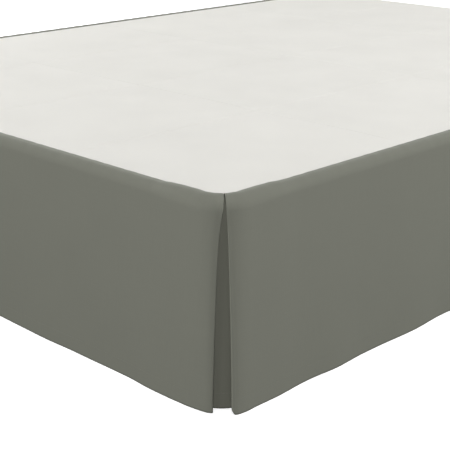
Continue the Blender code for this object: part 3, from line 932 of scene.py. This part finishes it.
def hem_lines(panel):
    """The stitch line of a hem, on the cloth's right side and on its turned-up layer."""
    proud = CLOTH_THICKNESS / 2 + THREAD_PROUD
    return [panel["line"] + panel["out"] * away for away in (proud, -(2 * HEM_TURN + proud))]


def sew(name, lines, thread, slot, stitch=STITCH):
    return grow(name, SEWING, lines_mesh(name, lines), {**stitch, "Thread": thread}, slot)


for name, panel in panels.items():
    panel["sewing"] = sew(name + "_stitches", hem_lines(panel), SAGE_THREAD, "skirt_cloth")

deck_outline = round_the_bed(steps(-HEAD_END, HEAD_END, 0.01))
deck_line = off_outline(deck_outline, -DECK_SEAM_BACK, DECK_TOP + THREAD_PROUD)
deck_line = deck_line[deck_line[:, 1] < DECK_SEAM_STOPS]
deck_sewing = sew("deck_stitches", [deck_line], WHITE_THREAD, "deck_cloth")

# %% [markdown]
# ## The sheets of cloth
# Each sheet of cloth has the size it was cut to, printed as it was made. Here the sheets are
# only counted.

# %% Count the sheets
print("sheets declared:", len(panels) + 1)

# %% [markdown]
# ## The box spring
# The skirt hides all of it but the head end. It is a firm upholstered block in plain ticking with
# a bound edge above and below. Bevelled corners make the block, and a flat map for each side
# keeps the ticking's threads straight on it.

# %% The box spring's cover
TICKING = (0.70, 0.69, 0.65)
TICKING_THREADS = 0.0006


def ticking_cloth():
    looks = {"Roughness": 0.85, "Sheen Weight": 0.1}
    material, shader = new_material("plain_ticking", TICKING, looks)
    threads = mapped(shader, "UV")
    weave = plain_weave(threads, TICKING_THREADS)
    clouds = noise(threads, 7.0)
    slubs = noise(mapped(shader, "UV", (900, 25, 1)), 1.0)
    woven, cloudy = between(weave, -0.10, 0.03, 0.0, 1.0), between(clouds, -0.03, 0.03)
    tint(shader, TICKING, total(woven, cloudy, between(slubs, -0.04, 0.04), 1.0))
    soft = noise(threads, 14.0, 2.0)
    raise_surface(shader, total(maths("MULTIPLY", weave, 0.1), soft), 0.0012, 0.35)
    return material


def map_flat(mesh):
    """A UV map in metres that looks at each face along the axis it faces most."""
    uv = mesh.uv_layers.new(name="flat_cloth").data
    for face in mesh.polygons:
        axis = int(np.argmax(np.abs(np.array(face.normal))))
        first, second = ((1, 2), (0, 2), (0, 1))[axis]
        for loop in face.loop_indices:
            place = mesh.vertices[mesh.loops[loop].vertex_index].co
            uv[loop].uv = (place[first], place[second])


def mesh_from(shape, name):
    """A mesh of a shape in the making."""
    mesh = bpy.data.meshes.new(name)
    shape.to_mesh(mesh)
    shape.free()
    return mesh


def box_spring_cover():
    low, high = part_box("box_spring")
    block = bmesh.new()
    bmesh.ops.create_cube(block, size=1.0)
    for vertex in block.verts:
        for axis in range(3):
            vertex.co[axis] = high[axis] if vertex.co[axis] > 0 else low[axis]
    for upright, radius, segments in ((True, CORNER_RADIUS, 20), (False, EDGE_RADIUS, 10)):
        rises = [(edge, abs(edge.verts[0].co.z - edge.verts[1].co.z)) for edge in block.edges]
        edges = [edge for edge, rise in rises if (rise > 0.01) == upright]
        bmesh.ops.bevel(
            block, geom=edges, offset=radius, segments=segments, affect="EDGES", profile=0.5
        )
    mesh = mesh_from(block, "box_spring_cover")
    map_flat(mesh)
    return mesh


box_spring = new_object("box_spring_cover", box_spring_cover(), ticking_cloth())
hand_over(box_spring, "ticking", "box_spring")
print("box spring covered, faces:", len(box_spring.data.polygons))

# %% [markdown]
# ## The bound edges
# A woven tape is sewn round the box spring where its side meets the top and the bottom. It is a
# flat oval section carried round the outline. The section is closed, and so is the way round.

# %% Tape round the box spring
TAPE = (0.60, 0.59, 0.55)
TAPE_RIBS = 0.0009
TAPE_WIDTH = 0.013
TAPE_STANDS = 0.0009
TAPE_STITCH = {"Stitch spacing": 0.0052, "Stitch length": 0.0042, "Thread width": 0.0005}
TAPE_HEIGHTS = {
    "top_edge_tape": BOX_TOP - EDGE_RADIUS - TAPE_WIDTH / 2,
    "bottom_edge_tape": BOX_BOTTOM + EDGE_RADIUS + TAPE_WIDTH / 2,
}


def tape_cloth():
    looks = {"Roughness": 0.7, "Sheen Weight": 0.2}
    material, shader = new_material("binding_tape", TAPE, looks)
    weave = plain_weave(mapped(shader, "UV"), TAPE_RIBS)
    tint(shader, TAPE, between(weave, 0.86, 1.05, 0.0, 1.0))
    raise_surface(shader, weave, 0.00025, 0.6)
    return material


def whole_outline():
    """Plan points and outward directions all the way round the box spring."""
    right = round_the_bed(np.linspace(0, SIDE_END + CORNER_ARC, 420))
    back = np.linspace(FOOT_STRAIGHT, -FOOT_STRAIGHT, 40)[1:-1]
    head = (back, 0 * back + HALF_LENGTH, 0 * back, 0 * back + 1)
    return [
        np.concatenate([near, far, mirrored * near[::-1][:-1]])
        for near, far, mirrored in zip(right, head, (-1, 1, -1, 1))
    ]


def tape_ring(name, height, material):
    """A tape at this height. Gives the line that its stitches run along."""
    outline = whole_outline()
    turns = np.linspace(0, 2 * math.pi, 13)[:-1]
    outward = TAPE_STANDS * np.sign(np.cos(turns)) * np.abs(np.cos(turns)) ** 0.5
    rise = TAPE_WIDTH / 2 * np.sin(turns)
    points = off_outline([part[:, None] for part in outline], outward, height + rise)
    run = np.hypot(np.diff(outline[0]), np.diff(outline[1]))
    round_way = np.concatenate([[0], np.cumsum(run)])
    flat = np.stack([np.repeat(round_way, len(rise)), np.tile(rise, len(round_way))], axis=1)
    tape = new_object(name, grid_mesh(name, points, flat, closed=True), material)
    hand_over(tape, "ticking")
    return off_outline(outline, TAPE_STANDS + 0.00005, height)


TAPE_MATERIAL = tape_cloth()
tape_lines = [tape_ring(name, height, TAPE_MATERIAL) for name, height in TAPE_HEIGHTS.items()]
sew("tape_stitches", tape_lines, WHITE_THREAD, "ticking", TAPE_STITCH)

# %% [markdown]
# ## The bed frame
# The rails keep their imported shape: plain angle iron has nothing that the solid lacks. They get
# a satin powder coat, which is never quite smooth, and which is rubbed where the box spring sits.

# %% Coat the rails
def hard_finish(name, colour, looks, grain, wear, shades, roughness, depth):
    """A hard surface with a fine grain, rubbed lighter and smoother in patches."""
    material, shader = new_material(name, colour, looks)
    place = mapped(shader, "Object")
    rubbed = noise(place, *wear)
    tint(shader, colour, between(rubbed, *shades))
    feed(shader, "Roughness", between(rubbed, *roughness))
    raise_surface(shader, noise(place, grain, 2.0), depth, 0.5)
    return material


COAT = hard_finish(
    "brown_powder_coat",
    (0.050, 0.046, 0.042),
    {"Roughness": 0.5, "Coat Weight": 0.15, "Coat Roughness": 0.35},
    grain=1400.0, wear=(22.0, 5.0), shades=(0.80, 1.30), roughness=(0.38, 0.56), depth=0.00008,
)
CROSS_RAILS = ("foot_cross_rail", "middle_cross_rail", "head_cross_rail")
RAILS = ("right_rail", "left_rail", *CROSS_RAILS)
for name in RAILS:
    rail = frame["nodes"][name].data
    rail.materials.clear()
    rail.materials.append(COAT)
print("rails coated:", len(RAILS))

# %% [markdown]
# ## Legs, glides and rivets
# Seven like legs stand on seven like glides, and every cross rail is riveted at its ends. One
# turned shape is made for each, and a second tree sets it on a list of points.

# %% A tree that sets a shape on points
def planting_tree():
    sizes = {"Shape": "NodeSocketObject", "Finish": "NodeSocketMaterial"}
    tree, given, made = new_tree("set_on_points", sizes)
    shape = add_node("GeometryNodeObjectInfo", {"Object": given["Shape"]})
    places = {"Points": given["Geometry"], "Instance": shape.outputs["Geometry"]}
    end_tree(places, given["Finish"], made)
    return tree


def turned(name, profile, sides=40):
    """A shape turned on a lathe: a profile of radius and height, bottom to top."""
    body = bmesh.new()
    chain = [body.verts.new((radius, 0.0, height)) for radius, height in profile]
    edges = [body.edges.new(pair) for pair in zip(chain, chain[1:])]
    bmesh.ops.spin(
        body, geom=chain + edges, cent=(0, 0, 0), axis=(0, 0, 1), angle=2 * math.pi, steps=sides
    )
    bmesh.ops.remove_doubles(body, verts=body.verts, dist=1e-6)
    bmesh.ops.recalc_face_normals(body, faces=body.faces)
    mesh = mesh_from(body, name)
    mesh.shade_smooth()
    mesh.set_sharp_from_angle(angle=math.radians(35))
    return in_scene(name, mesh)


def set_on_points(name, shape, points, finish, slot, nodes=()):
    """One piece made of a shape set on each point. The shape itself is then removed."""
    given = {"Shape": shape, "Finish": finish}
    grow(name, PLANTING, new_mesh(name, points), given, slot, *nodes)
    bpy.data.objects.remove(shape)


PLANTING = planting_tree()

# %% [markdown]
# The legs are steel tube with a rolled foot. The glides are moulded plastic: a rounded disc, with
# a short neck that the tube sits in.

# %% Stand the legs on their glides
SIDE_PLACES = (
    "foot_right", "foot_left", "middle_right", "middle_left", "head_right", "head_left",
)
GLIDE_PROFILE = (
    (0.0, 0.0), (0.0178, 0.0), (0.0196, 0.0006), (0.0207, 0.0018), (0.0210, 0.0034),
    (0.0210, 0.0098), (0.0206, 0.0116), (0.0196, 0.0131), (0.0182, 0.0139), (0.0, 0.0139),
)
LEG_RIM = 0.0012


def foot_place(name):
    """Where a leg stands on the floor, from its solid."""
    low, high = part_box(name + "_leg")
    return (low[0] + high[0]) / 2, (low[1] + high[1]) / 2, 0.0


def leg_profile(name):
    """The outline of a leg: a tube as high as its solid, with a small rim at both ends."""
    low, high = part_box(name + "_leg")
    radius, bottom, top = (high[0] - low[0]) / 2, low[2], high[2]
    return (
        (0.0, bottom), (radius - LEG_RIM, bottom), (radius, bottom + LEG_RIM),
        (radius, top - LEG_RIM), (radius - LEG_RIM, top), (0.0, top),
    )


def stand(piece_name, profile, places, kind, finish, slot):
    """One shape in place of the same kind of solid at every place."""
    nodes = [place + kind for place in places]
    points = [foot_place(place) for place in places]
    set_on_points(piece_name, turned(piece_name + "_shape", profile), points, finish, slot, nodes)


GLIDE_BLACK = hard_finish(
    "black_glide_plastic",
    (0.028, 0.028, 0.030),
    {"Roughness": 0.45},
    grain=1800.0, wear=(90.0, 4.0), shades=(0.85, 1.35), roughness=(0.38, 0.60), depth=0.00006,
)
ALL_PLACES = (*SIDE_PLACES, "centre")
stand("side_legs", leg_profile("foot_right"), SIDE_PLACES, "_leg", COAT, "frame_steel")
stand("middle_leg", leg_profile("centre"), ["centre"], "_leg", COAT, "frame_steel")
stand("glides", GLIDE_PROFILE, ALL_PLACES, "_glide", GLIDE_BLACK, "glide_plastic")

# %% Rivets where the rails cross
RIVET_PROFILE = (
    (0.0, -0.0030), (0.0022, -0.0028), (0.0041, -0.0021), (0.0054, -0.0010), (0.0058, 0.0001),
    (0.0058, 0.0004), (0.0, 0.0004),
)
RIVETS_BACK = (0.010, 0.026)
FLANGE_MIDDLE = 0.019
FLANGE_THICKNESS = 0.003


def rivet_places():
    """Two rivets at each end of each cross rail, under its flat flange."""
    places = []
    for rail_name in CROSS_RAILS:
        low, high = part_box(rail_name)
        y, z = low[1] + FLANGE_MIDDLE, high[2] - FLANGE_THICKNESS
        places += [(side * (high[0] - back), y, z) for side in (-1, 1) for back in RIVETS_BACK]
    return places


rivet = turned("rivet_shape", RIVET_PROFILE, 16)
set_on_points("rail_rivets", rivet, rivet_places(), COAT, "frame_steel")

# %% [markdown]
# ## Floor and light
# The bed stands in a plain white studio with a lit floor, as on a light table, so that no hard
# shadow falls beside the hem. An even fill keeps the pleat from going black, and three soft lamps
# light the foot corner: one for the foot, one for the side, and a low one between them. The
# side's lamp stands well back towards the head, so the side panel shades the foot's folded edge,
# which then rounds off softly into the dark. Three more lamps light the head, the left side and
# the deck, which could not be judged from the foot.

# %% The studio
WHITE = (1.0, 1.0, 1.0, 1.0)
FLOOR_REACH = 9
WALL_RADIUS = 12.0
FILL_STRENGTH = 0.05


def studio_white(name, grey, glow):
    colour = (grey, grey, grey)
    looks = {"Roughness": 0.9, "Emission Color": WHITE, "Emission Strength": glow}
    material, shader = new_material(name, colour, looks)
    grain = noise(mapped(shader, "Object"), 40.0)
    tint(shader, colour, between(grain, 0.99, 1.01))
    return material


def staged(name, mesh, material):
    """A floor or backdrop. It is lit and seen, but throws no light of its own on the cloth."""
    obj = new_object(name, mesh, material)
    obj.visible_diffuse = False
    obj.visible_glossy = False


def studio_floor():
    reach = FLOOR_REACH
    corners = [(-reach, -reach, 0), (reach, -reach, 0), (reach, reach, 0), (-reach, reach, 0)]
    floor = new_mesh("studio_floor", corners, faces=[(0, 1, 2, 3)])
    staged("studio_floor", floor, studio_white("lit_floor", 0.80, 0.84))


def studio_walls():
    dome = bmesh.new()
    bmesh.ops.create_uvsphere(dome, u_segments=48, v_segments=24, radius=WALL_RADIUS)
    bmesh.ops.reverse_faces(dome, faces=dome.faces)
    walls = mesh_from(dome, "studio_walls")
    staged("studio_walls", walls, studio_white("lit_wall", 0.10, 0.88))


def soft_lamp(name, place, aim, size, energy):
    """A round lamp of this size that looks from its place at its aim."""
    lamp = in_scene(name, bpy.data.lights.new(name, "AREA"))
    lamp.data.shape = "DISK"
    lamp.data.size = size
    lamp.data.energy = energy
    lamp.location = place
    x, y, z = np.array(place) - np.array(aim)
    lamp.rotation_euler = (math.atan2(math.hypot(x, y), z), 0.0, math.atan2(x, -y))


studio_floor()
studio_walls()
world = bpy.data.worlds.new("soft_fill")
world.use_nodes = True
fill = world.node_tree.nodes["Background"].inputs
fill["Color"].default_value = WHITE
fill["Strength"].default_value = FILL_STRENGTH
bpy.context.scene.world = world
soft_lamp("foot_lamp", (-0.95, -3.5, 1.5), (0.5, -1.0, 0.2), 1.2, 63.5)
soft_lamp("side_lamp", (3.0, 1.15, 1.5), (0.76, -0.7, 0.2), 1.4, 81.0)
soft_lamp("corner_lamp", (2.5, -2.9, 1.0), (0.75, -1.0, 0.2), 1.5, 47.0)
soft_lamp("head_lamp", (0.0, 3.6, 1.5), (0.0, 1.0, 0.2), 1.2, 50.0)
soft_lamp("left_lamp", (-3.4, -0.1, 1.3), (-0.76, 0.0, 0.2), 1.4, 75.0)
soft_lamp("deck_lamp", (-0.3, 0.2, 3.2), (0.0, 0.0, 0.3), 3.0, 36.0)
bpy.context.scene.view_settings.view_transform = "Standard"
